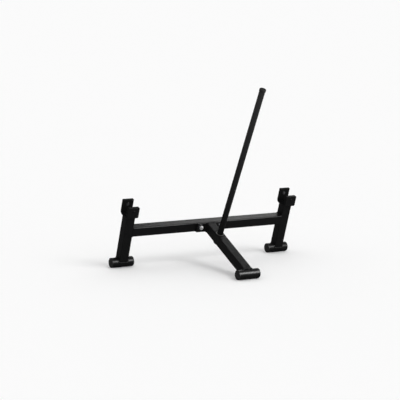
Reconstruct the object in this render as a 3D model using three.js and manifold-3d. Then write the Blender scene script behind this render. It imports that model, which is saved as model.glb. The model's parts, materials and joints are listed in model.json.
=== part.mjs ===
// Deadlift jack: a tilting frame that lifts a loaded bar off the floor.
// Millimetres, +Z up, +X along the crossbeam, the leg and the lever on the -Y side.
import * as THREE from 'three'
import { mergeVertices } from 'three/addons/utils/BufferGeometryUtils.js'
import Module from 'manifold-3d'

const wasm = await Module()
wasm.setup()

const DEG = Math.PI / 180

// Clearances shared by the whole part
const GAP = 0.3 // between two pieces that touch
const OVERRUN = 20 // how far a cutting shape runs past what it cuts

// Frame
const SPAN = 945 // between the centre lines of the two uprights
const WHEELBASE = 456 // from the rear feet's axis to the front foot's axis
const LEAN = 15 * DEG // the uprights lean forwards
const TUBE = 50 // side of every square tube
const TUBE_WALL = 3
const TUBE_CORNER = 5 // outer corner radius of a square tube
const UPRIGHT_HEIGHT = 261 // along the upright, from the feet's axis to its top
const UPRIGHT_TOE = 8 // the saddle-cut end stops this far above the foot's axis
const BEAM_HEIGHT = 177 // along the upright, from the feet's axis to the beam's centre line
const LEG_LIFT = 2 // the leg's centre line above the line from foot to beam
const LEG_TOE = 12 // the saddle-cut end stops this far from the front foot's axis

// Feet: three round tubes with plugged ends
const FOOT_DIAMETER = 50
const FOOT_WALL = 3
const FOOT_LENGTH = 115 // the tube alone
const FOOT_CAP_FLANGE = 6
const FOOT_CAP_DOME = 2.5 // how far the cap's face bulges
const FOOT_CAP_EDGE = 1.5 // rounding of the flange's rim
const FOOT_CAP_SKIRT = 14 // depth of the part inside the tube
const FOOT_CAP_WALL = 2.5

// Bar cradles: a bent steel saddle on top of each upright, lined with plastic
const SADDLE_WIDTH = 60 // along the bar
const SADDLE_WALL = 4
const SADDLE_BEND = 17 // outer bend radius
const SADDLE_REAR = 40 // outer face of the rear wall, behind the upright's centre line
const SADDLE_FRONT = 43.5 // outer face of the front lip, ahead of the upright's centre line
const REAR_TOP = 339 // top of the rear wall, along the upright from the feet's axis
const LIP_TOP = 324.5 // top of the front lip, measured the same way
const REAR_CORNER = 3 // rounding of the rear wall's top corners
const LIP_CORNER = 4 // rounding of the front lip's top corners
const SEAT_LINER = 3
const REAR_LINER = 7
const FRONT_LINER = 15
const LINER_EDGE = 2.5 // chamfer along the top inner edge of a liner

// Liner screws
const SCREW_DIAMETER = 8
const SCREW_CLEARANCE = 0.3 // on the radius, in every hole it passes
const SCREW_KEY = 5 // across the flats of the hexagon socket
const SCREW_KEY_DEPTH = 2.5
const REAR_SCREW_DROP = 27 // below the top of the rear wall
const REAR_SCREW_HEAD = 16 // diameter of the countersunk head
const REAR_SCREW_SINK = 0.6 // the head lies this far below the liner's face
const REAR_SCREW_TAIL = 2 // past its nut
const REAR_NUT_FLATS = 13
const REAR_NUT_HEIGHT = 6.5
const FRONT_SCREW_DROP = 20 // below the top of the lip
const FRONT_SCREW_HEAD = 14 // diameter of the button head
const FRONT_SCREW_HEAD_HEIGHT = 4.4
const FRONT_SCREW_DEPTH = 10 // into the front liner

// Flange plate that joins the leg to the crossbeam
const FLANGE_LENGTH = 160
const FLANGE_THICKNESS = 8
const FLANGE_CORNER = 3
const BOLT_SPACING = 118
const BOLT_RISE = 5 // above the beam's centre line
const BOLT_DIAMETER = 12
const BOLT_CLEARANCE = 0.4 // on the radius, in every hole it passes
const BOLT_FLATS = 19
const BOLT_HEAD = 7.5
const BOLT_NUT = 12
const BOLT_TAIL = 4 // past its nut
const WASHER_DIAMETER = 32
const WASHER_THICKNESS = 2.5

// Lever and its socket in the leg
const LEVER_SETBACK = 106.7 // from the beam's front face along the leg to the lever's axis
const LEVER_DIAMETER = 30
const LEVER_WALL = 2
const LEVER_LENGTH = 899
const LEVER_PLAY = 0.5 // on the radius, between lever and socket
const SOCKET_WALL = 4.5
const SOCKET_RISE = 2 // above the leg
const SOCKET_DROP = 5 // below the leg
const SOCKET_EDGE = 0.8 // chamfer at the mouth
const SOCKET_FLOOR = 3 // disc that closes its lower end
const TOP_CAP_WALL = 1.4
const TOP_CAP_TOP = 3
const TOP_CAP_SLEEVE = 9
const TOP_CAP_EDGE = 2
const PLUG_FLANGE = 3
const PLUG_SKIRT = 12
const PLUG_WALL = 2

const ROUND_STEPS = 36 // sides of a large round piece
const SMALL_STEPS = 20 // sides of a screw, a hole or a washer
const ARC_STEPS = 3 // half the steps of a rounded corner
const DOME_STEPS = 3 // steps from a dome's rim to its crown
const NUT_CHAMFER = 30 * DEG // slope of a chamfered hexagon's shoulder

const paint = new THREE.MeshStandardMaterial({ color: 0x1a1a1c, roughness: 0.42, metalness: 0.35 })
const plastic = new THREE.MeshStandardMaterial({ color: 0x121213, roughness: 0.55, metalness: 0 })
const zinc = new THREE.MeshStandardMaterial({ color: 0xc9ccd0, roughness: 0.3, metalness: 0.95 })
const blackSteel = new THREE.MeshStandardMaterial({ color: 0x232326, roughness: 0.38, metalness: 0.8 })

// Frames of reference: the leaning stand and the sloping leg
const footRadius = FOOT_DIAMETER / 2
const half = TUBE / 2
const beamFront = new THREE.Vector3(0, -half, BEAM_HEIGHT).applyAxisAngle(new THREE.Vector3(1, 0, 0), LEAN)
const legRun = beamFront.y + WHEELBASE
const legSlope = Math.atan2(beamFront.z, legRun)
const legLength = Math.hypot(beamFront.z, legRun)

const jack = new THREE.Group()
const ground = new THREE.Group()
ground.position.z = footRadius
const stand = new THREE.Group()
stand.position.z = footRadius
stand.rotation.x = LEAN
const strut = new THREE.Group()
strut.position.set(0, -WHEELBASE, footRadius)
strut.rotation.x = legSlope
jack.add(ground, stand, strut)
jack.updateMatrixWorld()

function toSolid(geometry) {
  const bare = geometry.clone()
  bare.deleteAttribute('normal')
  bare.deleteAttribute('uv')
  const merged = mergeVertices(bare)
  const vertProperties = new Float32Array(merged.attributes.position.array)
  const triVerts = new Uint32Array(merged.index.array)
  return new wasm.Manifold(new wasm.Mesh({ numProp: 3, vertProperties, triVerts }))
}

function toGeometry(solid) {
  const mesh = solid.getMesh()
  const geometry = new THREE.BufferGeometry()
  geometry.setAttribute('position', new THREE.BufferAttribute(mesh.vertProperties.slice(), 3))
  geometry.setIndex(new THREE.BufferAttribute(mesh.triVerts.slice(), 1))
  geometry.computeVertexNormals()
  return geometry
}

function cut(geometry, ...tools) {
  return toGeometry(tools.reduce((solid, tool) => solid.subtract(toSolid(tool)), toSolid(geometry)))
}

function join(geometry, ...others) {
  return toGeometry(others.reduce((solid, other) => solid.add(toSolid(other)), toSolid(geometry)))
}

function common(geometry, other) {
  return toGeometry(toSolid(geometry).intersect(toSolid(other)))
}

function addPiece(group, name, geometry, material, x = 0, y = 0, z = 0) {
  const mesh = new THREE.Mesh(geometry, material)
  mesh.name = name
  mesh.position.set(x, y, z)
  group.add(mesh)
}

// A rectangle centred on x = 0 with its four corner radii: lower two, then upper two
function roundedShape(width, bottom, top, lower, upper) {
  const side = width / 2
  const shape = new THREE.Shape()
  shape.moveTo(-side + lower, bottom)
  shape.lineTo(side - lower, bottom)
  if (lower > 0) shape.absarc(side - lower, bottom + lower, lower, -Math.PI / 2, 0)
  shape.lineTo(side, top - upper)
  if (upper > 0) shape.absarc(side - upper, top - upper, upper, 0, Math.PI / 2)
  shape.lineTo(-side + upper, top)
  if (upper > 0) shape.absarc(-side + upper, top - upper, upper, Math.PI / 2, Math.PI)
  shape.lineTo(-side, bottom + lower)
  if (lower > 0) shape.absarc(-side + lower, bottom + lower, lower, Math.PI, 1.5 * Math.PI)
  return shape
}

function extrude(shape, depth) {
  return new THREE.ExtrudeGeometry(shape, { depth, bevelEnabled: false, curveSegments: ARC_STEPS })
}

// Extruded towards +Z from z = 0, centred on x and y
function squareTube(length) {
  const inner = TUBE - 2 * TUBE_WALL
  const shape = roundedShape(TUBE, -half, half, TUBE_CORNER, TUBE_CORNER)
  const corner = TUBE_CORNER - TUBE_WALL
  shape.holes.push(roundedShape(inner, -inner / 2, inner / 2, corner, corner))
  return extrude(shape, length)
}

// A plate drawn in x and z, from y = front to y = back
function plate(shape, front, back) {
  const geometry = extrude(shape, back - front)
  geometry.rotateX(Math.PI / 2)
  geometry.translate(0, back, 0)
  return geometry
}

// A section drawn in y and z, extruded along x and centred on it
function alongX(shape, width) {
  const geometry = extrude(shape, width)
  const basis = new THREE.Matrix4().makeBasis(
    new THREE.Vector3(0, 1, 0),
    new THREE.Vector3(0, 0, 1),
    new THREE.Vector3(1, 0, 0)
  )
  geometry.applyMatrix4(basis)
  geometry.translate(-width / 2, 0, 0)
  return geometry
}

// Turned about its own +Y axis: points are [radius, height]
function turned(points, steps) {
  return new THREE.LatheGeometry(points.map(([r, h]) => new THREE.Vector2(r, h)), steps)
}

function rod(radius, from, to, steps) {
  return turned([[0, from], [radius, from], [radius, to], [0, to]], steps)
}

function ring(inner, outer, from, to, steps) {
  return turned([[inner, from], [outer, from], [outer, to], [inner, to], [inner, from]], steps)
}

// A hexagon prism with chamfered corners, its axis along +Y from 0 to height
function hexagon(flats, height, chamferedEnds) {
  const corner = flats / Math.sqrt(3)
  const prism = new THREE.CylinderGeometry(corner, corner, height, 6)
  prism.translate(0, height / 2, 0)
  const fall = (corner - flats / 2) * Math.tan(NUT_CHAMFER)
  const base = chamferedEnds > 1 ? [[0, 0], [flats / 2, 0], [corner, fall]] : [[0, 0], [corner, 0]]
  const envelope = turned([...base, [corner, height - fall], [flats / 2, height], [0, height]], SMALL_STEPS)
  return common(prism, envelope)
}

// Points of a rounded edge, from facing outwards to facing the top
function roundedEdge(outer, top, radius) {
  return Array.from({ length: ARC_STEPS }, (_, i) => {
    const angle = Math.PI / 2 * i / (ARC_STEPS - 1)
    return [outer - radius + radius * Math.cos(angle), top - radius + radius * Math.sin(angle)]
  })
}

// Points of a shallow dome from its rim to its crown, without the rim itself
function domePoints(rim, base, rise) {
  const sphere = (rim * rim + rise * rise) / (2 * rise)
  return Array.from({ length: DOME_STEPS }, (_, i) => {
    const radius = rim * (1 - (i + 1) / DOME_STEPS)
    return [radius, base + rise - sphere + Math.sqrt(sphere * sphere - radius * radius)]
  })
}

function axisAlongX(geometry, sign) {
  return geometry.rotateZ(-sign * Math.PI / 2)
}

function axisAlongZ(geometry) {
  return geometry.rotateX(Math.PI / 2)
}

// Crossbeam: square tube between the uprights, with two bolt holes through both walls
const boltHeight = BEAM_HEIGHT + BOLT_RISE
const boltHole = BOLT_DIAMETER / 2 + BOLT_CLEARANCE
const boltPlaces = [['left', -BOLT_SPACING / 2], ['right', BOLT_SPACING / 2]]

function boltBore(x, z) {
  const reach = half + FLANGE_THICKNESS + OVERRUN
  return rod(boltHole, -reach, reach, SMALL_STEPS).translate(x, 0, z)
}

function crossbeam() {
  const length = SPAN - TUBE - 2 * GAP
  const tube = squareTube(length)
  tube.rotateY(Math.PI / 2)
  tube.translate(-length / 2, 0, BEAM_HEIGHT)
  return cut(tube, ...boltPlaces.map(([, x]) => boltBore(x, boltHeight)))
}

// Upright: stands on its foot with a saddle-cut end
function upright() {
  const tube = squareTube(UPRIGHT_HEIGHT - UPRIGHT_TOE)
  tube.translate(0, 0, UPRIGHT_TOE)
  const round = rod(footRadius + GAP, -TUBE, TUBE, ROUND_STEPS)
  return cut(tube, axisAlongX(round, 1))
}

function footTube() {
  const outer = footRadius
  const tube = ring(outer - FOOT_WALL, outer, -FOOT_LENGTH / 2, FOOT_LENGTH / 2, ROUND_STEPS)
  return axisAlongX(tube, 1)
}

// Domed plastic plug, its flange outside the tube's end and its skirt inside
function footCap(sign) {
  const outer = footRadius
  const skirt = outer - FOOT_WALL - GAP
  const face = FOOT_CAP_FLANGE - FOOT_CAP_DOME
  const cap = turned([
    [0, 0],
    [skirt - FOOT_CAP_WALL, 0],
    [skirt - FOOT_CAP_WALL, -FOOT_CAP_SKIRT],
    [skirt, -FOOT_CAP_SKIRT],
    [skirt, 0],
    [outer, 0],
    ...roundedEdge(outer, face, FOOT_CAP_EDGE),
    ...domePoints(outer - FOOT_CAP_EDGE, face, FOOT_CAP_DOME)
  ], ROUND_STEPS)
  return axisAlongX(cap, sign)
}

// Saddle: a strip bent into a U, higher at the rear, resting on the upright's top
const saddleBottom = UPRIGHT_HEIGHT + GAP
const saddleFloor = saddleBottom + SADDLE_WALL
const rearInner = SADDLE_REAR - SADDLE_WALL
const lipInner = SADDLE_FRONT - SADDLE_WALL
const seatTop = saddleFloor + GAP + SEAT_LINER
const rearScrewHeight = REAR_TOP - REAR_SCREW_DROP
const frontScrewHeight = LIP_TOP - FRONT_SCREW_DROP
const screwHole = SCREW_DIAMETER / 2 + SCREW_CLEARANCE

function saddleSection() {
  const bend = SADDLE_BEND
  const inner = bend - SADDLE_WALL
  const centre = saddleBottom + bend
  const shape = new THREE.Shape()
  shape.moveTo(-SADDLE_FRONT, LIP_TOP)
  shape.lineTo(-SADDLE_FRONT, centre)
  shape.absarc(-SADDLE_FRONT + bend, centre, bend, Math.PI, 1.5 * Math.PI)
  shape.absarc(SADDLE_REAR - bend, centre, bend, -Math.PI / 2, 0)
  shape.lineTo(SADDLE_REAR, REAR_TOP)
  shape.lineTo(rearInner, REAR_TOP)
  shape.absarc(SADDLE_REAR - bend, centre, inner, 0, -Math.PI / 2, true)
  shape.absarc(-SADDLE_FRONT + bend, centre, inner, 1.5 * Math.PI, Math.PI, true)
  shape.lineTo(-lipInner, LIP_TOP)
  return shape
}

function saddle() {
  const low = saddleBottom - OVERRUN
  const strip = alongX(saddleSection(), SADDLE_WIDTH)
  const rearMask = plate(roundedShape(SADDLE_WIDTH, low, REAR_TOP, 0, REAR_CORNER), 0, SADDLE_REAR + OVERRUN)
  const lipMask = plate(roundedShape(SADDLE_WIDTH, low, LIP_TOP, 0, LIP_CORNER), -SADDLE_FRONT - OVERRUN, 0)
  const trimmed = common(strip, join(rearMask, lipMask))
  const rearHole = rod(screwHole, 0, SADDLE_REAR + OVERRUN, SMALL_STEPS).translate(0, 0, rearScrewHeight)
  const lipHole = rod(screwHole, -SADDLE_FRONT - OVERRUN, 0, SMALL_STEPS).translate(0, 0, frontScrewHeight)
  return cut(trimmed, rearHole, lipHole)
}

// The room inside the saddle, clear of its walls and bends
function cradleSpace() {
  const inner = SADDLE_BEND - SADDLE_WALL - GAP
  const centre = saddleBottom + SADDLE_BEND
  const front = -lipInner + GAP
  const back = rearInner - GAP
  const shape = new THREE.Shape()
  shape.absarc(front + inner, centre, inner, Math.PI, 1.5 * Math.PI)
  shape.absarc(back - inner, centre, inner, -Math.PI / 2, 0)
  shape.lineTo(back, REAR_TOP + OVERRUN)
  shape.lineTo(front, REAR_TOP + OVERRUN)
  return alongX(shape, SADDLE_WIDTH + 2 * OVERRUN)
}

const rearFace = rearInner - GAP - REAR_LINER
const frontFace = -lipInner + GAP + FRONT_LINER
const linerBottom = saddleFloor + GAP

// Seat liner: lies on the saddle's floor between the other two liners, its rear edge rounded into the bend
function seatLiner() {
  const slab = plate(roundedShape(SADDLE_WIDTH, linerBottom, seatTop, 0, 0), frontFace + GAP, rearFace - GAP)
  return common(slab, cradleSpace())
}

// A block that bevels the top edge of a liner whose inner face is at y
function edgeBevel(y, top, sign) {
  const shape = new THREE.Shape([
    new THREE.Vector2(y + sign * LINER_EDGE, top),
    new THREE.Vector2(y + sign * LINER_EDGE, top + OVERRUN),
    new THREE.Vector2(y - sign * OVERRUN, top + OVERRUN),
    new THREE.Vector2(y - sign * OVERRUN, top - LINER_EDGE),
    new THREE.Vector2(y, top - LINER_EDGE)
  ])
  return alongX(shape, SADDLE_WIDTH + 2 * OVERRUN)
}

// Rear and front liners: their lower ends are rounded into the saddle's bends
function rearLiner() {
  const shape = roundedShape(SADDLE_WIDTH, linerBottom, REAR_TOP, 0, REAR_CORNER)
  const body = common(plate(shape, rearFace, SADDLE_REAR), cradleSpace())
  const bore = rod(screwHole, 0, rearInner + OVERRUN, SMALL_STEPS).translate(0, 0, rearScrewHeight)
  const sink = REAR_SCREW_HEAD / 2 + REAR_SCREW_SINK + SCREW_CLEARANCE
  const cone = turned([[0, -OVERRUN], [sink + OVERRUN, -OVERRUN], [0, sink]], SMALL_STEPS)
  cone.translate(0, rearFace, rearScrewHeight)
  return cut(body, bore, cone, edgeBevel(rearFace, REAR_TOP, 1))
}

function frontLiner() {
  const shape = roundedShape(SADDLE_WIDTH, linerBottom, LIP_TOP, 0, LIP_CORNER)
  const body = common(plate(shape, -SADDLE_FRONT, frontFace), cradleSpace())
  const end = -lipInner + GAP + FRONT_SCREW_DEPTH + GAP
  const bore = rod(screwHole, -SADDLE_FRONT, end, SMALL_STEPS).translate(0, 0, frontScrewHeight)
  return cut(body, bore, edgeBevel(frontFace, LIP_TOP, -1))
}

function keySocket() {
  const corner = SCREW_KEY / Math.sqrt(3)
  return new THREE.CylinderGeometry(corner, corner, 2 * SCREW_KEY_DEPTH, 6)
}

// Countersunk screw: head in the rear liner's face, nut behind the rear wall
function rearScrew() {
  const head = REAR_SCREW_HEAD / 2
  const shank = SCREW_DIAMETER / 2
  const start = rearFace + REAR_SCREW_SINK
  const end = SADDLE_REAR + GAP + REAR_NUT_HEIGHT + REAR_SCREW_TAIL
  const body = turned([[0, start], [head, start], [shank, start + head - shank], [shank, end], [0, end]], SMALL_STEPS)
  return cut(body, keySocket().translate(0, start, 0))
}

function rearNut() {
  const nut = hexagon(REAR_NUT_FLATS, REAR_NUT_HEIGHT, 2)
  const bore = rod(screwHole, -OVERRUN, REAR_NUT_HEIGHT + OVERRUN, SMALL_STEPS)
  return cut(nut, bore).translate(0, SADDLE_REAR + GAP, 0)
}

// Button-head screw: through the front lip into the front liner
function frontScrew() {
  const head = FRONT_SCREW_HEAD / 2
  const shank = SCREW_DIAMETER / 2
  const seat = -SADDLE_FRONT - GAP
  const end = -lipInner + GAP + FRONT_SCREW_DEPTH
  const height = FRONT_SCREW_HEAD_HEIGHT
  const dome = domePoints(head, 0, height).map(([r, h]) => [r, seat - h]).reverse()
  const body = turned([...dome, [head, seat], [shank, seat], [shank, end], [0, end]], SMALL_STEPS)
  return cut(body, keySocket().translate(0, seat - height, 0))
}

// Flange plate: welded to the leg's upper end, bolted to the beam's front face
const flangeBack = -half - GAP
const flangeFront = flangeBack - FLANGE_THICKNESS

function legFlange() {
  const bottom = BEAM_HEIGHT - half
  const shape = roundedShape(FLANGE_LENGTH, bottom, bottom + TUBE, FLANGE_CORNER, FLANGE_CORNER)
  const body = plate(shape, flangeFront, flangeBack)
  return cut(body, ...boltPlaces.map(([, x]) => boltBore(x, boltHeight)))
}

// Hexagon bolt: head behind the beam, nut in front of the flange
const washerBack = flangeFront - GAP
const nutBack = washerBack - WASHER_THICKNESS - GAP
const headFront = half + GAP + WASHER_THICKNESS + GAP

function flangeBolt() {
  const head = hexagon(BOLT_FLATS, BOLT_HEAD, 1).translate(0, headFront, 0)
  const shank = rod(BOLT_DIAMETER / 2, nutBack - BOLT_NUT - BOLT_TAIL, headFront + BOLT_HEAD / 2, SMALL_STEPS)
  return join(head, shank)
}

function washer(front) {
  return ring(boltHole, WASHER_DIAMETER / 2, front, front + WASHER_THICKNESS, SMALL_STEPS)
}

function flangeNut() {
  const nut = hexagon(BOLT_FLATS, BOLT_NUT, 2)
  const bore = rod(boltHole, -OVERRUN, BOLT_NUT + OVERRUN, SMALL_STEPS)
  return cut(nut, bore).translate(0, nutBack - BOLT_NUT, 0)
}

// Leg: square tube from the flange down to the front foot, bored through for the socket
const leverPlace = legLength - LEVER_SETBACK
const legTop = LEG_LIFT + half
const legUnderside = LEG_LIFT - half
const socketBore = LEVER_DIAMETER / 2 + LEVER_PLAY
const socketRadius = socketBore + SOCKET_WALL
const socketTop = legTop + SOCKET_RISE
const socketBottom = legUnderside - SOCKET_DROP

function leg() {
  const length = legLength + TUBE - LEG_TOE
  const tube = squareTube(length)
  tube.rotateX(-Math.PI / 2)
  tube.translate(0, LEG_TOE, LEG_LIFT)
  const flangeSide = new THREE.BoxGeometry(2 * TUBE, 2 * TUBE, 4 * TUBE)
  flangeSide.translate(0, TUBE + flangeFront - GAP, BEAM_HEIGHT)
  flangeSide.applyMatrix4(stand.matrixWorld)
  flangeSide.applyMatrix4(strut.matrixWorld.clone().invert())
  const round = axisAlongX(rod(footRadius + GAP, -TUBE, TUBE, ROUND_STEPS), 1)
  const bore = axisAlongZ(rod(socketRadius + GAP, -TUBE, TUBE, ROUND_STEPS)).translate(0, leverPlace, 0)
  return cut(tube, flangeSide, round, bore)
}

// Socket: a short tube through both walls of the leg, chamfered at its mouth
function leverSocket() {
  const outer = socketRadius
  const tube = turned([
    [socketBore, socketBottom],
    [outer, socketBottom],
    [outer, socketTop - SOCKET_EDGE],
    [outer - SOCKET_EDGE, socketTop],
    [socketBore + SOCKET_EDGE, socketTop],
    [socketBore, socketTop - SOCKET_EDGE],
    [socketBore, socketBottom]
  ], ROUND_STEPS)
  return axisAlongZ(tube)
}

const floorTop = socketBottom - GAP

function socketFloor() {
  return axisAlongZ(rod(socketRadius, floorTop - SOCKET_FLOOR, floorTop, ROUND_STEPS))
}

// Lever: a straight round tube that stands on the socket's floor by its plug
const plugBottom = floorTop + GAP
const leverBottom = plugBottom + PLUG_FLANGE + GAP
const leverTop = leverBottom + LEVER_LENGTH
const leverRadius = LEVER_DIAMETER / 2
const leverBore = leverRadius - LEVER_WALL

function lever() {
  return axisAlongZ(ring(leverBore, leverRadius, leverBottom, leverTop, ROUND_STEPS))
}

function plug() {
  const skirt = leverBore - GAP
  const body = turned([
    [0, plugBottom],
    [leverRadius, plugBottom],
    [leverRadius, plugBottom + PLUG_FLANGE],
    [skirt, plugBottom + PLUG_FLANGE],
    [skirt, plugBottom + PLUG_FLANGE + PLUG_SKIRT],
    [skirt - PLUG_WALL, plugBottom + PLUG_FLANGE + PLUG_SKIRT],
    [skirt - PLUG_WALL, plugBottom + PLUG_FLANGE],
    [0, plugBottom + PLUG_FLANGE]
  ], ROUND_STEPS)
  return axisAlongZ(body)
}

// Cap over the lever's upper end
function topCap() {
  const inner = leverRadius + GAP
  const outer = inner + TOP_CAP_WALL
  const under = leverTop + GAP
  const top = under + TOP_CAP_TOP
  const mouth = leverTop - TOP_CAP_SLEEVE
  const body = turned([
    [0, under],
    [inner, under],
    [inner, mouth],
    [outer, mouth],
    ...roundedEdge(outer, top, TOP_CAP_EDGE),
    [0, top]
  ], ROUND_STEPS)
  return axisAlongZ(body)
}

// Assembly
addPiece(stand, 'crossbeam', crossbeam(), paint)
addPiece(stand, 'leg_flange', legFlange(), paint)
for (const [side, x] of boltPlaces) {
  addPiece(stand, `flange_bolt_${side}`, flangeBolt(), zinc, x, 0, boltHeight)
  addPiece(stand, `flange_head_washer_${side}`, washer(half + GAP), blackSteel, x, 0, boltHeight)
  addPiece(stand, `flange_nut_washer_${side}`, washer(washerBack - WASHER_THICKNESS), blackSteel, x, 0, boltHeight)
  addPiece(stand, `flange_nut_${side}`, flangeNut(), zinc, x, 0, boltHeight)
}

for (const [side, x] of [['left', -SPAN / 2], ['right', SPAN / 2]]) {
  addPiece(stand, `upright_${side}`, upright(), paint, x)
  addPiece(stand, `saddle_${side}`, saddle(), paint, x)
  addPiece(stand, `seat_liner_${side}`, seatLiner(), plastic, x)
  addPiece(stand, `rear_liner_${side}`, rearLiner(), plastic, x)
  addPiece(stand, `front_liner_${side}`, frontLiner(), plastic, x)
  addPiece(stand, `rear_screw_${side}`, rearScrew(), blackSteel, x, 0, rearScrewHeight)
  addPiece(stand, `rear_nut_${side}`, rearNut(), blackSteel, x, 0, rearScrewHeight)
  addPiece(stand, `front_screw_${side}`, frontScrew(), blackSteel, x, 0, frontScrewHeight)
}

const feet = [
  ['foot_left', -SPAN / 2, 0, 'outer', 'inner'],
  ['foot_right', SPAN / 2, 0, 'inner', 'outer'],
  ['foot_front', 0, -WHEELBASE, 'left', 'right']
]
for (const [name, x, y, lowEnd, highEnd] of feet) {
  const end = FOOT_LENGTH / 2 + GAP
  addPiece(ground, name, footTube(), paint, x, y)
  addPiece(ground, `${name}_cap_${lowEnd}`, footCap(-1), plastic, x - end, y)
  addPiece(ground, `${name}_cap_${highEnd}`, footCap(1), plastic, x + end, y)
}

addPiece(strut, 'leg', leg(), paint)
addPiece(strut, 'lever_socket', leverSocket(), paint, 0, leverPlace)
addPiece(strut, 'socket_floor', socketFloor(), paint, 0, leverPlace)
addPiece(strut, 'lever', lever(), paint, 0, leverPlace)
addPiece(strut, 'lever_top_cap', topCap(), plastic, 0, leverPlace)
addPiece(strut, 'lever_plug', plug(), plastic, 0, leverPlace)

// The origin is on the floor under the middle of the whole part
const box = new THREE.Box3().setFromObject(jack, true)
jack.position.set(0, -(box.min.y + box.max.y) / 2, -box.min.z)

export default jack
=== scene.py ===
import json
import math

import bmesh
import bpy
from mathutils import Matrix, Vector

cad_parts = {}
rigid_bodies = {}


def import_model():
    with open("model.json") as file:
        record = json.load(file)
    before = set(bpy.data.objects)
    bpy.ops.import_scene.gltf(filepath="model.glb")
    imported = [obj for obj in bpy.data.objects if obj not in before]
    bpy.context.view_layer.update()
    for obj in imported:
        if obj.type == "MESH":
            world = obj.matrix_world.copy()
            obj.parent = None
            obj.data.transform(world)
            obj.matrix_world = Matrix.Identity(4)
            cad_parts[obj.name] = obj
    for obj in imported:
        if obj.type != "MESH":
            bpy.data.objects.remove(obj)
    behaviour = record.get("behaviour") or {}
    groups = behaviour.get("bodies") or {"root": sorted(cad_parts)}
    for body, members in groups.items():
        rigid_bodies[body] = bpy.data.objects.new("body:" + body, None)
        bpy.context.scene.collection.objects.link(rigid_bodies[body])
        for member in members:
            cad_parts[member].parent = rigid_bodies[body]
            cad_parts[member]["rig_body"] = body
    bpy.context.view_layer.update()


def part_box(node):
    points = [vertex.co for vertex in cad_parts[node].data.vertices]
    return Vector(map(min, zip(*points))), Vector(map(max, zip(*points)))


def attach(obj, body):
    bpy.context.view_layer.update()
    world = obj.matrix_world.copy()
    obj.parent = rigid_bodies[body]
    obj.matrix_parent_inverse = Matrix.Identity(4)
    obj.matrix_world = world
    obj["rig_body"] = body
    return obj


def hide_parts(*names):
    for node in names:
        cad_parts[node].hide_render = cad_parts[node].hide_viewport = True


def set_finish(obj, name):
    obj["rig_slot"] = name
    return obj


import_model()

# Camera: stands ahead of the jack and out past its left foot, higher than the lever's top, and looks
# down 11 degrees through a long lens.
scene = bpy.context.scene
camera_data = bpy.data.cameras.new("camera")
camera_data.sensor_width = 36
camera_data.lens = 119.08474
camera_data.clip_start = 0.1
camera_data.clip_end = 200
camera = bpy.data.objects.new("camera", camera_data)
camera.location = (-3.505067, -5.571309, 1.622823)
camera.rotation_euler = [math.radians(a) for a in (79.099284, -2.255318, -30.461070)]
scene.collection.objects.link(camera)
scene.camera = camera
scene.view_settings.view_transform = "Standard"

# Studio: a plain pale floor that runs out to the horizon, under an even white surround.
# The surround is white to the eye and in reflections, and dimmer as the light that falls on things.
surround = bpy.data.worlds.new("surround")
surround.use_nodes = True
scene.world = surround
tree = surround.node_tree
tree.nodes.clear()
path = tree.nodes.new("ShaderNodeLightPath")
seen = path.outputs["Is Camera Ray"]
for ray in ("Is Glossy Ray", "Is Transmission Ray"):
    more = tree.nodes.new("ShaderNodeMath")
    more.operation = "MAXIMUM"
    tree.links.new(seen, more.inputs[0])
    tree.links.new(path.outputs[ray], more.inputs[1])
    seen = more.outputs[0]
choice = tree.nodes.new("ShaderNodeMixShader")
tree.links.new(seen, choice.inputs[0])
as_light, as_seen = 0.72, 1.0
for entry, strength in ((1, as_light), (2, as_seen)):
    white = tree.nodes.new("ShaderNodeBackground")
    white.inputs["Color"].default_value = (1, 1, 1, 1)
    white.inputs["Strength"].default_value = strength
    tree.links.new(white.outputs[0], choice.inputs[entry])
tree.links.new(choice.outputs[0], tree.nodes.new("ShaderNodeOutputWorld").inputs["Surface"])

floor_radius = 60  # metres, out to the horizon
bpy.ops.object.select_all(action="DESELECT")
bpy.ops.mesh.primitive_circle_add(vertices=96, radius=floor_radius, fill_type="NGON")
floor = bpy.context.object
floor.name = "floor"
floor_paint = bpy.data.materials.new("floor_paint")
floor_paint.use_nodes = True
coat = floor_paint.node_tree.nodes["Principled BSDF"]
coat.inputs["Base Color"].default_value = (0.985, 0.985, 0.985, 1)
coat.inputs["Roughness"].default_value = 0.9
coat.inputs["Specular IOR Level"].default_value = 0.0
floor.data.materials.append(floor_paint)


# Lamps: a broad one from the front right and a broader one from behind. Three soft boxes only show in
# reflections: one for each of the nearer feet, and a wide one behind for the upper faces.
def hang(name, lamp, towards, place=(0, 0, 0)):
    """Hangs a lamp that shines from the given direction."""
    held = bpy.data.objects.new(name, lamp)
    held.location = place
    held.rotation_euler = Vector(towards).to_track_quat("Z", "Y").to_euler()
    scene.collection.objects.link(held)
    return held


for name, energy, degrees, towards in (("front", 0.8, 30, (0.35, -0.52, 0.74)),
                                       ("behind", 0.35, 60, (0.55, 0.62, 0.56))):
    lamp = bpy.data.lights.new(name, "SUN")
    lamp.energy, lamp.angle = energy, math.radians(degrees)
    hang(name, lamp, towards)
for name, size, energy, place, towards in (("near_box", 1.0, 455, (1.06, -1.49, 1.1), (1.06, -1.28, 1.07)),
                                           ("left_box", 0.8, 115, (0.68, -1.76, 1.34), (1.15, -2.0, 1.32)),
                                           ("far_box", 1.6, 128, (1.9, 2.2, 1.95), (1.9, 2.1, 1.75))):
    lamp = bpy.data.lights.new(name, "AREA")
    lamp.shape, lamp.size, lamp.energy = "DISK", size, energy
    box = hang(name, lamp, towards, place)
    box.visible_diffuse = box.visible_camera = False


# Feet: three round steel tubes across the uprights and the leg, 50 mm over a 3 mm wall, cut square
# and powder coated black. The jack rocks on them.
mm = 0.001
foot_radius, foot_length, foot_wall = 25, 115, 3


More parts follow.
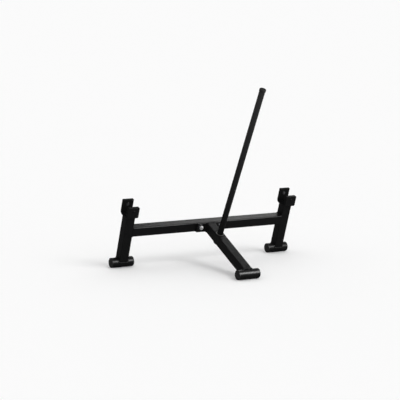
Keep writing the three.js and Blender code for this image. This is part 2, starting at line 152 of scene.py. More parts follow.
def alone(piece):
    """Makes this piece the only one selected."""
    if bpy.context.object and bpy.context.object.mode != "OBJECT":
        bpy.ops.object.mode_set(mode="OBJECT")
    bpy.ops.object.select_all(action="DESELECT")
    piece.select_set(True)
    bpy.context.view_layer.objects.active = piece
    return piece


def named(name):
    """Names the piece just added, and keeps its size in its mesh."""
    piece = bpy.context.object
    piece.name = piece.data.name = name
    bpy.ops.object.transform_apply(location=True, rotation=True, scale=True)
    return piece


def pick(kind, wanted):
    """Selects, of the piece in edit mode, the vertices, edges or faces that the test wants."""
    bpy.ops.mesh.select_mode(type=kind)
    bpy.ops.mesh.select_all(action="DESELECT")
    mesh = bmesh.from_edit_mesh(bpy.context.object.data)
    for element in {"VERT": mesh.verts, "EDGE": mesh.edges, "FACE": mesh.faces}[kind]:
        if wanted(element):
            element.select_set(True)
    mesh.select_flush_mode()
    bmesh.update_edit_mesh(bpy.context.object.data)


def modify(piece, kind, **settings):
    """Adds a modifier, sets it and applies it."""
    alone(piece)
    modifier = piece.modifiers.new(kind.lower(), kind)
    for name, value in settings.items():
        setattr(modifier, name, value)
    bpy.ops.object.modifier_apply(modifier=modifier.name)
    return piece


def clean(piece):
    """Merges what a cut left closer than a hundredth of a millimetre, and closes the shell again."""
    slack = 0.01 * mm
    alone(piece)
    bpy.ops.object.mode_set(mode="EDIT")
    bpy.ops.mesh.select_all(action="SELECT")
    bpy.ops.mesh.remove_doubles(threshold=slack)
    bpy.ops.mesh.dissolve_degenerate(threshold=slack)
    bpy.ops.mesh.select_all(action="SELECT")
    bpy.ops.mesh.fill_holes(sides=0)
    bpy.ops.mesh.select_all(action="SELECT")
    bpy.ops.mesh.normals_make_consistent(inside=False)
    bpy.ops.object.mode_set(mode="OBJECT")
    return piece


def soften(piece, width, segments=2):
    """Breaks the sharp edges."""
    return modify(piece, "BEVEL", width=width, segments=segments,
                  limit_method="ANGLE", angle_limit=math.radians(40))


def settle(piece, place, body, slot, finish, *nodes):
    """Shades the piece, puts it in its place, and hangs it on its body in its node's stead."""
    alone(piece)
    bpy.ops.object.shade_smooth_by_angle(angle=math.radians(32))
    modify(piece, "WEIGHTED_NORMAL", mode="FACE_AREA", weight=60, keep_sharp=True)
    piece.matrix_world = place
    bpy.ops.object.transform_apply(location=True, rotation=True, scale=True)
    piece.data.materials.clear()
    piece.data.materials.append(finish)
    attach(piece, body)
    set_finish(piece, slot)
    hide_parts(*nodes)
    return piece


def twin(piece, name, shift, *nodes):
    """A copy with a mesh of its own, moved by the shift, on the same body and slot."""
    copy = bpy.data.objects.new(name, piece.data.copy())
    copy.data.name = name
    scene.collection.objects.link(copy)
    copy.data.transform(Matrix.Translation(shift))
    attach(copy, piece["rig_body"])
    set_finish(copy, piece["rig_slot"])
    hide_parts(*nodes)
    return copy


def socket(tree, name, direction, value=None):
    """Adds a value's socket to a shader group."""
    added = tree.interface.new_socket(name=name, in_out=direction, socket_type="NodeSocketFloat")
    if value is not None:
        added.default_value = value


def times(tree, first, second):
    """The product of two values."""
    node = tree.nodes.new("ShaderNodeMath")
    node.operation = "MULTIPLY"
    tree.links.new(first, node.inputs[0])
    tree.links.new(second, node.inputs[1])
    return node.outputs[0]


# Shader group: the fine grain of a baked, moulded or plated surface, and its broad mottle
grain_group = bpy.data.node_groups.new("surface_grain", "ShaderNodeTree")
socket(grain_group, "Fine Scale", "INPUT", 900)
socket(grain_group, "Broad Scale", "INPUT", 60)
socket(grain_group, "Height", "OUTPUT")
socket(grain_group, "Mottle", "OUTPUT")
add, link = grain_group.nodes.new, grain_group.links.new
given, out, spot = add("NodeGroupInput"), add("NodeGroupOutput"), add("ShaderNodeTexCoord")
for scale, output, detail in (("Fine Scale", "Height", 2), ("Broad Scale", "Mottle", 4)):
    noise = add("ShaderNodeTexNoise")
    noise.inputs["Detail"].default_value = detail
    link(spot.outputs["Object"], noise.inputs["Vector"])
    link(given.outputs[scale], noise.inputs["Scale"])
    link(noise.outputs["Fac"], out.inputs[output])

# Shader group: rubbed outer edges, where a rounded normal leaves the true one, broken into patches
wear_group = bpy.data.node_groups.new("edge_wear", "ShaderNodeTree")
socket(wear_group, "Width", "INPUT", 0.0015)
socket(wear_group, "Patch Scale", "INPUT", 40)
socket(wear_group, "Amount", "INPUT", 0.5)
socket(wear_group, "Wear", "OUTPUT")
add, link = wear_group.nodes.new, wear_group.links.new
given, out, spot = add("NodeGroupInput"), add("NodeGroupOutput"), add("ShaderNodeTexCoord")
shape, rounded, turn = add("ShaderNodeNewGeometry"), add("ShaderNodeBevel"), add("ShaderNodeVectorMath")
rounded.samples = 6
turn.operation = "DOT_PRODUCT"
link(given.outputs["Width"], rounded.inputs["Radius"])
link(rounded.outputs["Normal"], turn.inputs[0])
link(shape.outputs["Normal"], turn.inputs[1])
edge, broken, patches = add("ShaderNodeMapRange"), add("ShaderNodeMapRange"), add("ShaderNodeTexNoise")
edge.inputs["From Min"].default_value, edge.inputs["From Max"].default_value = 0.995, 0.9
broken.inputs["From Min"].default_value, broken.inputs["From Max"].default_value = 0.4, 0.62
patches.inputs["Detail"].default_value = 5
link(turn.outputs["Value"], edge.inputs["Value"])
link(spot.outputs["Object"], patches.inputs["Vector"])
link(given.outputs["Patch Scale"], patches.inputs["Scale"])
link(patches.outputs["Fac"], broken.inputs["Value"])
patchy = times(wear_group, edge.outputs["Result"], broken.outputs["Result"])
link(times(wear_group, patchy, given.outputs["Amount"]), out.inputs["Wear"])


def finish_with(name, metallic, gloss):
    """A new finish with its metal and its plain gloss set, and its tree and shader."""
    material = bpy.data.materials.new(name)
    material.use_nodes = True
    shader = material.node_tree.nodes["Principled BSDF"]
    shader.inputs["Metallic"].default_value = metallic
    shader.inputs["Specular IOR Level"].default_value = gloss
    return material, material.node_tree, shader


def use(tree, group, **values):
    """Places a shader group in a finish, with its own values."""
    node = tree.nodes.new("ShaderNodeGroup")
    node.node_tree = group
    for name, value in values.items():
        node.inputs[name.replace("_", " ")].default_value = value
    return node


def two_colours(tree, factor, first, second):
    """Goes from the first colour to the second as the factor goes from 0 to 1."""
    mix = tree.nodes.new("ShaderNodeMix")
    mix.data_type = "RGBA"
    tree.links.new(factor, mix.inputs["Factor"])
    mix.inputs[6].default_value = (*first, 1)
    mix.inputs[7].default_value = (*second, 1)
    return mix.outputs[2]


def between(tree, value, low, high, start=0.3, end=0.7):
    """Spreads the middle of a noise over a range of values."""
    node = tree.nodes.new("ShaderNodeMapRange")
    for name, number in (("From Min", start), ("From Max", end), ("To Min", low), ("To Max", high)):
        node.inputs[name].default_value = number
    tree.links.new(value, node.inputs["Value"])
    return node.outputs["Result"]


def relief(tree, height, distance):
    """A normal that follows a height, whose full rise is the distance in metres."""
    node = tree.nodes.new("ShaderNodeBump")
    node.inputs["Strength"].default_value = 1.0
    node.inputs["Distance"].default_value = distance
    tree.links.new(height, node.inputs["Height"])
    return node.outputs["Normal"]


def powder_coat(name, colour, wear_and_sheen, smooth, rough, gloss, wear, width=0.0014):
    """Black powder coat: orange peel and a broad mottle break its gloss, and its worn edges turn paler."""
    peel_depth = 0.00012
    material, tree, shader = finish_with(name, 0, 0)
    shader.inputs["Coat Roughness"].default_value = (smooth + rough) / 2
    grain = use(tree, grain_group, Fine_Scale=1000.0, Broad_Scale=45.0)
    worn = use(tree, wear_group, Width=width, Patch_Scale=38.0, Amount=wear)
    shine = times(tree, between(tree, grain.outputs["Mottle"], 0.85, 1.15),
                  between(tree, grain.outputs["Height"], 0.4 * gloss, 1.6 * gloss))
    tree.links.new(shine, shader.inputs["Coat Weight"])
    tree.links.new(two_colours(tree, worn.outputs["Wear"], colour, wear_and_sheen), shader.inputs["Base Color"])
    tree.links.new(between(tree, grain.outputs["Mottle"], smooth, rough), shader.inputs["Roughness"])
    tree.links.new(relief(tree, grain.outputs["Height"], peel_depth), shader.inputs["Normal"])
    return material


coat_black, rubbed_grey, coat_gloss = (0.0052, 0.0052, 0.0054), (0.026, 0.026, 0.027), 0.058
frame_coat = powder_coat("frame_coat", coat_black, rubbed_grey, 0.3, 0.42, coat_gloss, wear=0.5)
weld_coat = powder_coat("weld_coat", coat_black, rubbed_grey, 0.34, 0.46, coat_gloss, wear=0.2)

rear_axis = sum(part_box("foot_left"), Vector()) / 2
front_axis = sum(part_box("foot_front"), Vector()) / 2
half_span = -rear_axis.x
bpy.ops.object.select_all(action="DESELECT")
bpy.ops.mesh.primitive_cylinder_add(vertices=72, radius=foot_radius * mm, depth=foot_length * mm,
                                    end_fill_type="NOTHING", rotation=(0, math.pi / 2, 0))
foot = named("foot_tube_front")
modify(foot, "SOLIDIFY", thickness=foot_wall * mm, offset=-1)
soften(foot, 0.5 * mm)
settle(foot, Matrix.Translation(front_axis), "frame", "frame_paint", frame_coat, "foot_front")
to_left = rear_axis - front_axis
to_right = Vector((half_span, rear_axis.y, rear_axis.z)) - front_axis
twin(foot, "foot_tube_left", to_left, "foot_left")
twin(foot, "foot_tube_right", to_right, "foot_right")


# Foot caps: six domed black plastic plugs, moulded in one shot and pressed into the ends of the feet.
# The flange is as wide as the tube, and the gate of the mould shows in the middle of the dome.
def arc(middle, radius, start, end, steps):
    """Points on an arc, in degrees, as (across, up)."""
    angles = [math.radians(start + (end - start) * i / steps) for i in range(steps + 1)]
    return [(middle[0] + radius * math.cos(a), middle[1] + radius * math.sin(a)) for a in angles]


def draw(name, points):
    """Draws a line of edges through the points, one vertex extruded from the last."""
    bpy.ops.object.select_all(action="DESELECT")
    bpy.ops.mesh.primitive_plane_add(size=mm)
    piece = named(name)
    bpy.ops.object.mode_set(mode="EDIT")
    bpy.ops.mesh.select_mode(type="VERT")
    bpy.ops.mesh.select_all(action="SELECT")
    bpy.ops.mesh.merge(type="CENTER")
    bpy.ops.transform.translate(value=points[0])
    for last, point in zip(points, points[1:]):
        bpy.ops.mesh.extrude_region_move(TRANSFORM_OT_translate={"value": Vector(point) - Vector(last)})
    return piece


def close_up():
    """Merges the ends of what was spun, cut or filled, turns its faces outwards and leaves edit mode."""
    bpy.ops.mesh.select_all(action="SELECT")
    bpy.ops.mesh.remove_doubles(threshold=3e-6)
    bpy.ops.mesh.normals_make_consistent(inside=False)
    bpy.ops.object.mode_set(mode="OBJECT")


def turned(name, outline, axis, steps=64):
    """Spins an outline of (radius, height) in millimetres about an axis."""
    spot = {"x": lambda r, h: (h, r, 0), "y": lambda r, h: (r, h, 0), "z": lambda r, h: (r, 0, h)}[axis]
    piece = draw(name, [Vector(spot(r, h)) * mm for r, h in outline])
    bpy.ops.mesh.select_all(action="SELECT")
    bpy.ops.mesh.spin(steps=steps, angle=2 * math.pi, center=(0, 0, 0),
                      axis=[float(a == axis) for a in "xyz"])
    close_up()
    return piece


def moulded(name, rough_low, rough_high, grain_depth, gloss, shade):
    """Black plastic with the fine spark grain of its mould."""
    material, tree, shader = finish_with(name, 0, 0)
    shader.inputs["Coat Roughness"].default_value = (rough_low + rough_high) / 2
    grain = use(tree, grain_group, Fine_Scale=2200.0, Broad_Scale=70.0)
    tree.links.new(between(tree, grain.outputs["Height"], 0.5 * gloss, 1.5 * gloss),
                   shader.inputs["Coat Weight"])
    worn = use(tree, wear_group, Width=0.0012, Patch_Scale=60.0, Amount=0.5)
    colour = two_colours(tree, worn.outputs["Wear"], (shade, shade, shade), (0.05, 0.05, 0.05))
    tree.links.new(colour, shader.inputs["Base Color"])
    tree.links.new(between(tree, grain.outputs["Mottle"], rough_low, rough_high), shader.inputs["Roughness"])
    tree.links.new(relief(tree, grain.outputs["Height"], grain_depth), shader.inputs["Normal"])
    return material


cap_plastic = moulded("cap_plastic", 0.36, 0.5, grain_depth=0.00005, gloss=0.14, shade=0.0095)
rim, rise, top = 23.5, 2.5, 6  # of the domed face
dome = (rim ** 2 + rise ** 2) / (2 * rise)  # radius of the sphere that the face is part of
stem = [(0, 0), (19.2, 0), (19.2, -14), (20.7, -14), (21.7, -12.5), (21.7, 0)]
brim = [(24.6, 0), (foot_radius, 0.4)] + arc((rim, 2), 1.5, 0, 90, 5)
face = [(r, top - dome + math.sqrt(dome ** 2 - r ** 2)) for r in (22, 19, 15, 11, 7, 4)]
gate = [(2.2, 5.9), (1.9, 5.55), (0, 5.5)]
outline = stem + brim + face + gate
foot_ends = foot_length / 2 * mm + 0.3 * mm
for sign, side in ((-1, "left"), (1, "right")):
    cap = turned(f"foot_front_plug_{side}", [(r, sign * h) for r, h in outline], "x")
    place = Matrix.Translation(front_axis + Vector((sign * foot_ends, 0, 0)))
    settle(cap, place, "frame", "foot_plug", cap_plastic, f"foot_front_cap_{side}")
    twin(cap, f"foot_left_plug_{side}", to_left, f"foot_left_cap_{'outer' if sign < 0 else 'inner'}")
    twin(cap, f"foot_right_plug_{side}", to_right, f"foot_right_cap_{'inner' if sign < 0 else 'outer'}")


# Uprights: 50 mm square steel tube with a 3 mm wall, leaning forwards 15 degrees. The lower end is
# cut to the round of the foot and welded to it.
lean = math.radians(15)
tube_side, tube_corner, tube_wall = 50, 5, 3
upright_low, upright_high = 8, 261
foot_cut = 25.3  # radius of the cut, the foot's and a gap for the weld
stand = Matrix.Translation((0, rear_axis.y, rear_axis.z)) @ Matrix.Rotation(lean, 4, "X")


def along(edge, axis):
    """Whether an edge runs along an axis."""
    run = edge.verts[1].co - edge.verts[0].co
    return abs(run["xyz".index(axis)]) > 0.999 * run.length


def square_tube(name, length, axis, start):
    """A length of square tube along an axis, its long edges rounded and its ends open. No wall yet."""
    index = "xyz".index(axis)
    size, middle = [tube_side * mm] * 3, [0, 0, 0]
    size[index], middle[index] = length, start + length / 2
    bpy.ops.object.select_all(action="DESELECT")
    bpy.ops.mesh.primitive_cube_add(size=1, scale=size, location=middle)
    tube = named(name)
    bpy.ops.object.mode_set(mode="EDIT")
    pick("EDGE", lambda e: along(e, axis))
    bpy.ops.mesh.bevel(offset=tube_corner * mm, segments=8, affect="EDGES")
    pick("FACE", lambda f: abs(f.normal[index]) > 0.99)
    bpy.ops.mesh.delete(type="FACE")
    bpy.ops.object.mode_set(mode="OBJECT")
    return tube


def wall(tube):
    """Gives a square tube its wall."""
    return modify(tube, "SOLIDIFY", thickness=tube_wall * mm, offset=-1)


def bore(piece, axis, radius, length, spot, steps=48):
    """Cuts a round hole with a drill of this length, centred on the spot."""
    turn = {"x": (0, math.pi / 2, 0), "y": (math.pi / 2, 0, 0), "z": (0, 0, 0)}[axis]
    bpy.ops.object.select_all(action="DESELECT")
    bpy.ops.mesh.primitive_cylinder_add(vertices=steps, radius=radius, depth=length,
                                        location=spot, rotation=turn)
    tool = named("drill")
    modify(piece, "BOOLEAN", object=tool, operation="DIFFERENCE", solver="EXACT")
    bpy.data.objects.remove(tool)
    return piece


upright = wall(square_tube("upright_tube_left", (upright_high - upright_low) * mm, "z", upright_low * mm))
bore(upright, "x", foot_cut * mm, 80 * mm, (0, 0, 0), 96)
on_left = stand @ Matrix.Translation((-half_span, 0, 0))
across = (2 * half_span, 0, 0)  # from the left side to the right
settle(upright, on_left, "frame", "frame_paint", frame_coat, "upright_left")
twin(upright, "upright_tube_right", across, "upright_right")

# Crossbeam: the same tube, butted between the uprights 177 mm up them and welded all round.
# Two holes through both walls take the bolts of the leg's flange.
beam_length, beam_up = 894.4, 177
bolt_out, bolt_up, bolt_hole = 59, 5, 6.4
beam = wall(square_tube("crossbeam_tube", beam_length * mm, "x", -beam_length / 2 * mm))
for x in (-bolt_out, bolt_out):
    bore(beam, "y", bolt_hole * mm, 80 * mm, (x * mm, 0, bolt_up * mm))
settle(beam, stand @ Matrix.Translation((0, 0, beam_up * mm)), "frame", "frame_paint", frame_coat, "crossbeam")


# Saddles: a 60 mm strip of 4 mm steel bent into a U on top of each upright, higher at the rear.
# The corners are rounded, and a hole in each wall takes a liner's screw.
saddle_width, rear_top, lip_top = 60, 339, 324.5
rear_bend, lip_bend = (23, 278.3), (-26.5, 278.3)  # the middles of its two bends
bend_outside, bend_inside = 17, 13
screw_hole, rear_screw_up, lip_screw_up = 4.3, 312, 304.5


def extruded(name, outline, width):
    """Draws a closed outline of (y, z) in millimetres, fills it and extrudes it along x."""
    piece = draw(name, [Vector((-width / 2, y, z)) * mm for y, z in outline])
    bpy.ops.mesh.select_all(action="SELECT")
    bpy.ops.mesh.edge_face_add()
    bpy.ops.mesh.extrude_region_move(TRANSFORM_OT_translate={"value": (width * mm, 0, 0)})
    close_up()
    return piece


def round_corners(piece, top, radius):
    """Rounds the upper corners, as seen from the front, at a height."""
    alone(piece)
    bpy.ops.object.mode_set(mode="EDIT")
    pick("EDGE", lambda e: along(e, "y") and all(abs(v.co.z - top * mm) < 0.1 * mm for v in e.verts))
    bpy.ops.mesh.bevel(offset=radius * mm, segments=8, affect="EDGES")
    bpy.ops.object.mode_set(mode="OBJECT")


outline = ([(-43.5, lip_top)] + arc(lip_bend, bend_outside, 180, 270, 10)
           + arc(rear_bend, bend_outside, 270, 360, 10) + [(40, rear_top), (36, rear_top)]
           + arc(rear_bend, bend_inside, 0, -90, 10) + arc(lip_bend, bend_inside, 270, 180, 10)
           + [(-39.5, lip_top)])
saddle = extruded("saddle_strip_left", outline, saddle_width)
round_corners(saddle, rear_top, 3)
round_corners(saddle, lip_top, 4)
soften(saddle, 0.6 * mm)
bore(saddle, "y", screw_hole * mm, 20 * mm, (0, 38 * mm, rear_screw_up * mm))
bore(saddle, "y", screw_hole * mm, 20 * mm, (0, -41 * mm, lip_screw_up * mm))
settle(saddle, on_left, "frame", "frame_paint", frame_coat, "saddle_left")
twin(saddle, "saddle_strip_right", across, "saddle_right")

# Liners: black plastic that keeps the bar off the steel, sawn and milled from sheet. A strip lies in
# the bend, a plate stands against the rear wall and a block against the lip.
liner_bend = 12.7  # radius, just inside the saddle's
liner_plastic, tree, shader = finish_with("liner_plastic", 0, 0)
shader.inputs["Coat Roughness"].default_value = 0.5
grain = use(tree, grain_group, Fine_Scale=1500.0, Broad_Scale=110.0)
worn = use(tree, wear_group, Width=0.001, Patch_Scale=90.0, Amount=0.7)
passes = tree.nodes.new("ShaderNodeTexWave")  # the milling cutter's passes
passes.bands_direction = "Z"
passes.inputs["Scale"].default_value = 260
passes.inputs["Distortion"].default_value = 1.2
passes.inputs["Detail"].default_value = 2
tree.links.new(tree.nodes.new("ShaderNodeTexCoord").outputs["Object"], passes.inputs["Vector"])
tree.links.new(two_colours(tree, worn.outputs["Wear"], (0.005, 0.005, 0.0052), (0.03, 0.03, 0.03)),
               shader.inputs["Base Color"])
tree.links.new(between(tree, grain.outputs["Mottle"], 0.45, 0.62), shader.inputs["Roughness"])
tree.links.new(between(tree, passes.outputs["Fac"], 0.018, 0.042, 0, 1), shader.inputs["Coat Weight"])
tree.links.new(relief(tree, passes.outputs["Fac"], 0.00003), shader.inputs["Normal"])

seat = extruded("seat_strip_left", [(-23.9, 268.6), (-23.9, 265.6)]
                + arc(rear_bend, liner_bend, 270, 295.1, 4) + [(28.4, 268.6)], saddle_width)
soften(seat, 0.3 * mm)
settle(seat, on_left, "frame", "cradle_liner", liner_plastic, "seat_liner_left")
twin(seat, "seat_strip_right", across, "seat_liner_right")

rear_plate = extruded("rear_plate_left", arc(rear_bend, liner_bend, 296.7, 360, 7)
                      + [(35.7, rear_top), (31.2, rear_top), (28.7, rear_top - 2.5)], saddle_width)
round_corners(rear_plate, rear_top, 3)
soften(rear_plate, 0.4 * mm)
bore(rear_plate, "y", screw_hole * mm, 20 * mm, (0, 33 * mm, rear_screw_up * mm))
sink = turned("sink", [(0, 20.5), (17.2, 20.5), (4.2, 33.5), (0, 33.5)], "y", 48)
sink.data.transform(Matrix.Translation((0, 0, rear_screw_up * mm)))
modify(rear_plate, "BOOLEAN", object=sink, operation="DIFFERENCE", solver="EXACT")
bpy.data.objects.remove(sink)
clean(rear_plate)
settle(rear_plate, on_left, "frame", "cradle_liner", liner_plastic, "rear_liner_left")
twin(rear_plate, "rear_plate_right", across, "rear_liner_right")

lip_block = extruded("lip_block_left", [(-26.7, lip_top), (-39.2, lip_top)]
                     + arc(lip_bend, liner_bend, 180, 270, 10)
                     + [(-24.2, 265.6), (-24.2, lip_top - 2.5)], saddle_width)
round_corners(lip_block, lip_top, 4)
soften(lip_block, 0.4 * mm)
clean(lip_block)
settle(lip_block, on_left, "frame", "cradle_liner", liner_plastic, "front_liner_left")
twin(lip_block, "lip_block_right", across, "front_liner_right")

# Liner screws: M8 socket screws. A countersunk one of black oxide steel with a nut holds each rear
# plate, and a button head, coated over with the saddle, goes through the lip into the block.
screw_radius, screw_pitch, key_flats = 4, 1.25, 5
black_steel, tree, shader = finish_with("black_steel", 1, 0.5)
grain = use(tree, grain_group, Fine_Scale=2600.0, Broad_Scale=240.0)
worn = use(tree, wear_group, Width=0.0006, Patch_Scale=300.0, Amount=0.8)
# Its worn edges turn a paler grey. This is wear, and on the countersunk heads partly a painted highlight.
tree.links.new(two_colours(tree, worn.outputs["Wear"], (0.025, 0.025, 0.027), (0.2, 0.195, 0.19)),
               shader.inputs["Base Color"])
tree.links.new(between(tree, grain.outputs["Mottle"], 0.26, 0.42), shader.inputs["Roughness"])
tree.links.new(relief(tree, grain.outputs["Height"], 0.00002), shader.inputs["Normal"])


def hexagonal(name, flats, start, end, chamfers):
    """A hexagon prism along y, its corners turned off at 30 degrees at one end or both."""
    corner, height = flats / math.sqrt(3), end - start
    outside, fall = corner + 0.01, (corner - flats / 2) * math.tan(math.radians(30))
    low, high = [(0, start), (outside, start)], [(outside, end), (0, end)]
    if "start" in chamfers:
        low = [(0, start), (flats / 2, start), (outside, start + fall)]
    if "end" in chamfers:
        high = [(outside, end - fall), (flats / 2, end), (0, end)]
    envelope = turned("envelope", low + high, "y", 72)
    bpy.ops.object.select_all(action="DESELECT")
    bpy.ops.mesh.primitive_cylinder_add(vertices=6, radius=corner * mm, depth=(height + 1) * mm,
                                        location=(0, (start + end) / 2 * mm, 0), rotation=(math.pi / 2, 0, 0))
    prism = named(name)
    modify(prism, "BOOLEAN", object=envelope, operation="INTERSECT", solver="EXACT")
    bpy.data.objects.remove(envelope)
    return clean(prism)


def hex_key(piece, flats, start, end):
    """Sinks a hexagon socket along y."""
    bpy.ops.object.select_all(action="DESELECT")
    bpy.ops.mesh.primitive_cylinder_add(vertices=6, radius=flats / math.sqrt(3) * mm, depth=(end - start) * mm,
                                        location=(0, (start + end) / 2 * mm, 0), rotation=(math.pi / 2, 0, 0))
    tool = named("key")
    modify(piece, "BOOLEAN", object=tool, operation="DIFFERENCE", solver="EXACT")
    bpy.data.objects.remove(tool)


def thread(name, radius, pitch, start, end):
    """A helical thread along y, begun over a pitch early and cut flat at both ends."""
    root, points, height = radius - 0.61 * pitch, [], start - 1.13 * pitch
    while height < end + pitch:
        points += [(root, height), (root, height + pitch / 4), (radius, height + pitch * 9 / 16),
                   (radius, height + pitch * 11 / 16)]
        height += pitch
    piece = draw(name, [Vector((r, h, 0)) * mm for r, h in points])
    bpy.ops.object.mode_set(mode="OBJECT")
    modify(piece, "SCREW", axis="Y", angle=2 * math.pi, steps=28, render_steps=28, screw_offset=pitch * mm,
           use_merge_vertices=True, merge_threshold=1e-6)
    for height, sign in ((start, -1), (end, 1)):
        alone(piece)
        bpy.ops.object.mode_set(mode="EDIT")
        bpy.ops.mesh.select_all(action="SELECT")
        bpy.ops.mesh.bisect(plane_co=(0, height * mm, 0), plane_no=(0, sign, 0),
                            use_fill=True, clear_outer=True)
        close_up()
    return clean(piece)


def joined(piece, *others):
    """Makes one mesh of several."""
    alone(piece)
    for other in others:
        other.select_set(True)
    bpy.ops.object.join()
    return piece


at_rear_screw = on_left @ Matrix.Translation((0, 0, rear_screw_up * mm))
rear_screw = turned("rear_bolt_left", [(0, 29.3), (7.7, 29.3), (8, 29.6), (8, 29.9), (screw_radius, 33.9),
                                       (screw_radius, 47), (0, 47)], "y")
hex_key(rear_screw, key_flats, 28, 31.8)
clean(rear_screw)
joined(rear_screw, thread("tail", screw_radius, screw_pitch, 40.3, 48.7))
settle(rear_screw, at_rear_screw, "frame", "black_hardware", black_steel, "rear_screw_left")
twin(rear_screw, "rear_bolt_right", across, "rear_screw_right")

nut = hexagonal("rear_hex_nut_left", 13, 40.3, 46.8, ("start", "end"))
bore(nut, "y", 3.9 * mm, 20 * mm, (0, 43 * mm, 0))
clean(nut)
settle(nut, at_rear_screw, "frame", "black_hardware", black_steel, "rear_nut_left")
twin(nut, "rear_hex_nut_right", across, "rear_nut_right")

head_radius, head_height, lip_face = 7, 4.4, -43.8
crown = (head_radius ** 2 + head_height ** 2) / (2 * head_height)  # radius of the head's round
head = [(r, lip_face - head_height + crown - math.sqrt(crown ** 2 - r ** 2))
        for r in (0, 1.5, 3, 4.2, 5.2, 6, 6.6, head_radius)]
button = turned("lip_button_left", head + [(head_radius, lip_face), (screw_radius, lip_face),
                                           (screw_radius, -29.2), (0, -29.2)], "y")
hex_key(button, key_flats, -49, -45.7)
button_coat = powder_coat("button_coat", (0.005, 0.005, 0.0052), (0.03, 0.03, 0.031), 0.44, 0.56,
                          gloss=0.035, wear=0.4, width=0.0008)
settle(button, on_left @ Matrix.Translation((0, 0, lip_screw_up * mm)), "frame", "black_hardware",
       button_coat, "front_screw_left")
twin(button, "lip_button_right", across, "front_screw_right")

# Flange: an 8 mm steel plate on the upper end of the leg, drilled for two bolts that hold it to the
# front of the crossbeam. It stands as high as the beam, with its corners rounded.
flange_size, flange_middle = (160 * mm, 8 * mm, 50 * mm), (0, -29.3 * mm, -bolt_up * mm)
on_beam = stand @ Matrix.Translation((0, 0, (beam_up + bolt_up) * mm))
bpy.ops.object.select_all(action="DESELECT")
bpy.ops.mesh.primitive_cube_add(size=1, scale=flange_size, location=flange_middle)
flange = named("flange_plate")
bpy.ops.object.mode_set(mode="EDIT")
pick("EDGE", lambda e: along(e, "y"))
bpy.ops.mesh.bevel(offset=3 * mm, segments=6, affect="EDGES")
bpy.ops.object.mode_set(mode="OBJECT")
soften(flange, 0.7 * mm, 3)
for x in (-bolt_out, bolt_out):
    bore(flange, "y", bolt_hole * mm, 30 * mm, (x * mm, flange_middle[1], 0))
settle(flange, on_beam, "frame", "frame_paint", frame_coat, "leg_flange")

# Flange bolts: two M12 hexagon bolts and nuts, bright zinc plate over steel, on black washers.
# The heads are behind the crossbeam, and the nuts show in front of the flange.
bolt_radius, bolt_pitch, bolt_flats = 6, 1.75, 19
zinc, tree, shader = finish_with("zinc", 1, 0.5)
grain = use(tree, grain_group, Fine_Scale=1400.0, Broad_Scale=190.0)
blue_grey, warm_grey = (0.56, 0.57, 0.59), (0.68, 0.67, 0.65)
tree.links.new(two_colours(tree, between(tree, grain.outputs["Mottle"], 0, 1), blue_grey, warm_grey),
               shader.inputs["Base Color"])
tree.links.new(between(tree, grain.outputs["Mottle"], 0.2, 0.36), shader.inputs["Roughness"])
tree.links.new(relief(tree, grain.outputs["Height"], 0.00003), shader.inputs["Normal"])

left_bolt = on_beam @ Matrix.Translation((-bolt_out * mm, 0, 0))
to_right_bolt = (2 * bolt_out * mm, 0, 0)
bolt = hexagonal("bolt_left", bolt_flats, 28.1, 35.6, ("end",))
shank = turned("shank", [(0, -40), (5.2, -40), (bolt_radius, -39), (bolt_radius, 29), (0, 29)], "y", 48)
joined(bolt, shank, thread("tail", bolt_radius, bolt_pitch, -52.4, -36))
settle(bolt, left_bolt, "frame", "zinc_hardware", zinc, "flange_bolt_left")
twin(bolt, "bolt_right", to_right_bolt, "flange_bolt_right")

washer_hole, washer_radius, washer_thick = 6.4, 16, 2.5
for name, start in (("head", 25.3), ("nut", -36.1)):
    end = start + washer_thick
    ring = turned(f"{name}_washer_left",
                  [(washer_hole, start + 0.2), (6.6, start), (15.7, start), (washer_radius, start + 0.3),
                   (washer_radius, end - 0.3), (15.7, end), (6.6, end), (washer_hole, end - 0.2),
                   (washer_hole, start + 0.2)], "y")
    settle(ring, left_bolt, "frame", "black_hardware", black_steel, f"flange_{name}_washer_left")
    twin(ring, f"{name}_washer_right", to_right_bolt, f"flange_{name}_washer_right")

nut = hexagonal("hex_nut_left", bolt_flats, -48.4, -36.4, ("start", "end"))
bore(nut, "y", 5.9 * mm, 30 * mm, (0, -42 * mm, 0))
clean(nut)
settle(nut, left_bolt, "frame", "zinc_hardware", zinc, "flange_nut_left")
twin(nut, "hex_nut_right", to_right_bolt, "flange_nut_right")

# Leg: 50 mm square tube that slopes down from the flange to the front foot. Its upper end is cut to
# the flange, its lower end to the foot, and it is bored through for the lever's socket.
slope = math.atan2(164.498, 386.041)  # its rise over its run, in millimetres
strut = Matrix.Translation(front_axis) @ Matrix.Rotation(slope, 4, "X")
leg_low, leg_high, leg_lift = 12, 472, 2  # lift of its middle line over the front foot's
socket_up, socket_hole = 312.93, 20.3
flange_front = Vector((0, -33.6 * mm, beam_up * mm))
leg = square_tube("leg_tube", (leg_high - leg_low) * mm, "y", leg_low * mm)
leg.data.transform(Matrix.Translation((0, 0, leg_lift * mm)))
to_strut = strut.inverted() @ stand
alone(leg)
bpy.ops.object.mode_set(mode="EDIT")
bpy.ops.mesh.select_all(action="SELECT")
bpy.ops.mesh.bisect(plane_co=to_strut @ flange_front, plane_no=to_strut.to_3x3() @ Vector((0, 1, 0)),
                    clear_outer=True)
bpy.ops.object.mode_set(mode="OBJECT")
wall(leg)
bore(leg, "x", foot_cut * mm, 80 * mm, (0, 0, 0), 96)
bore(leg, "z", socket_hole * mm, 90 * mm, (0, socket_up * mm, 0), 72)
settle(leg, strut, "frame", "frame_paint", frame_coat, "leg")
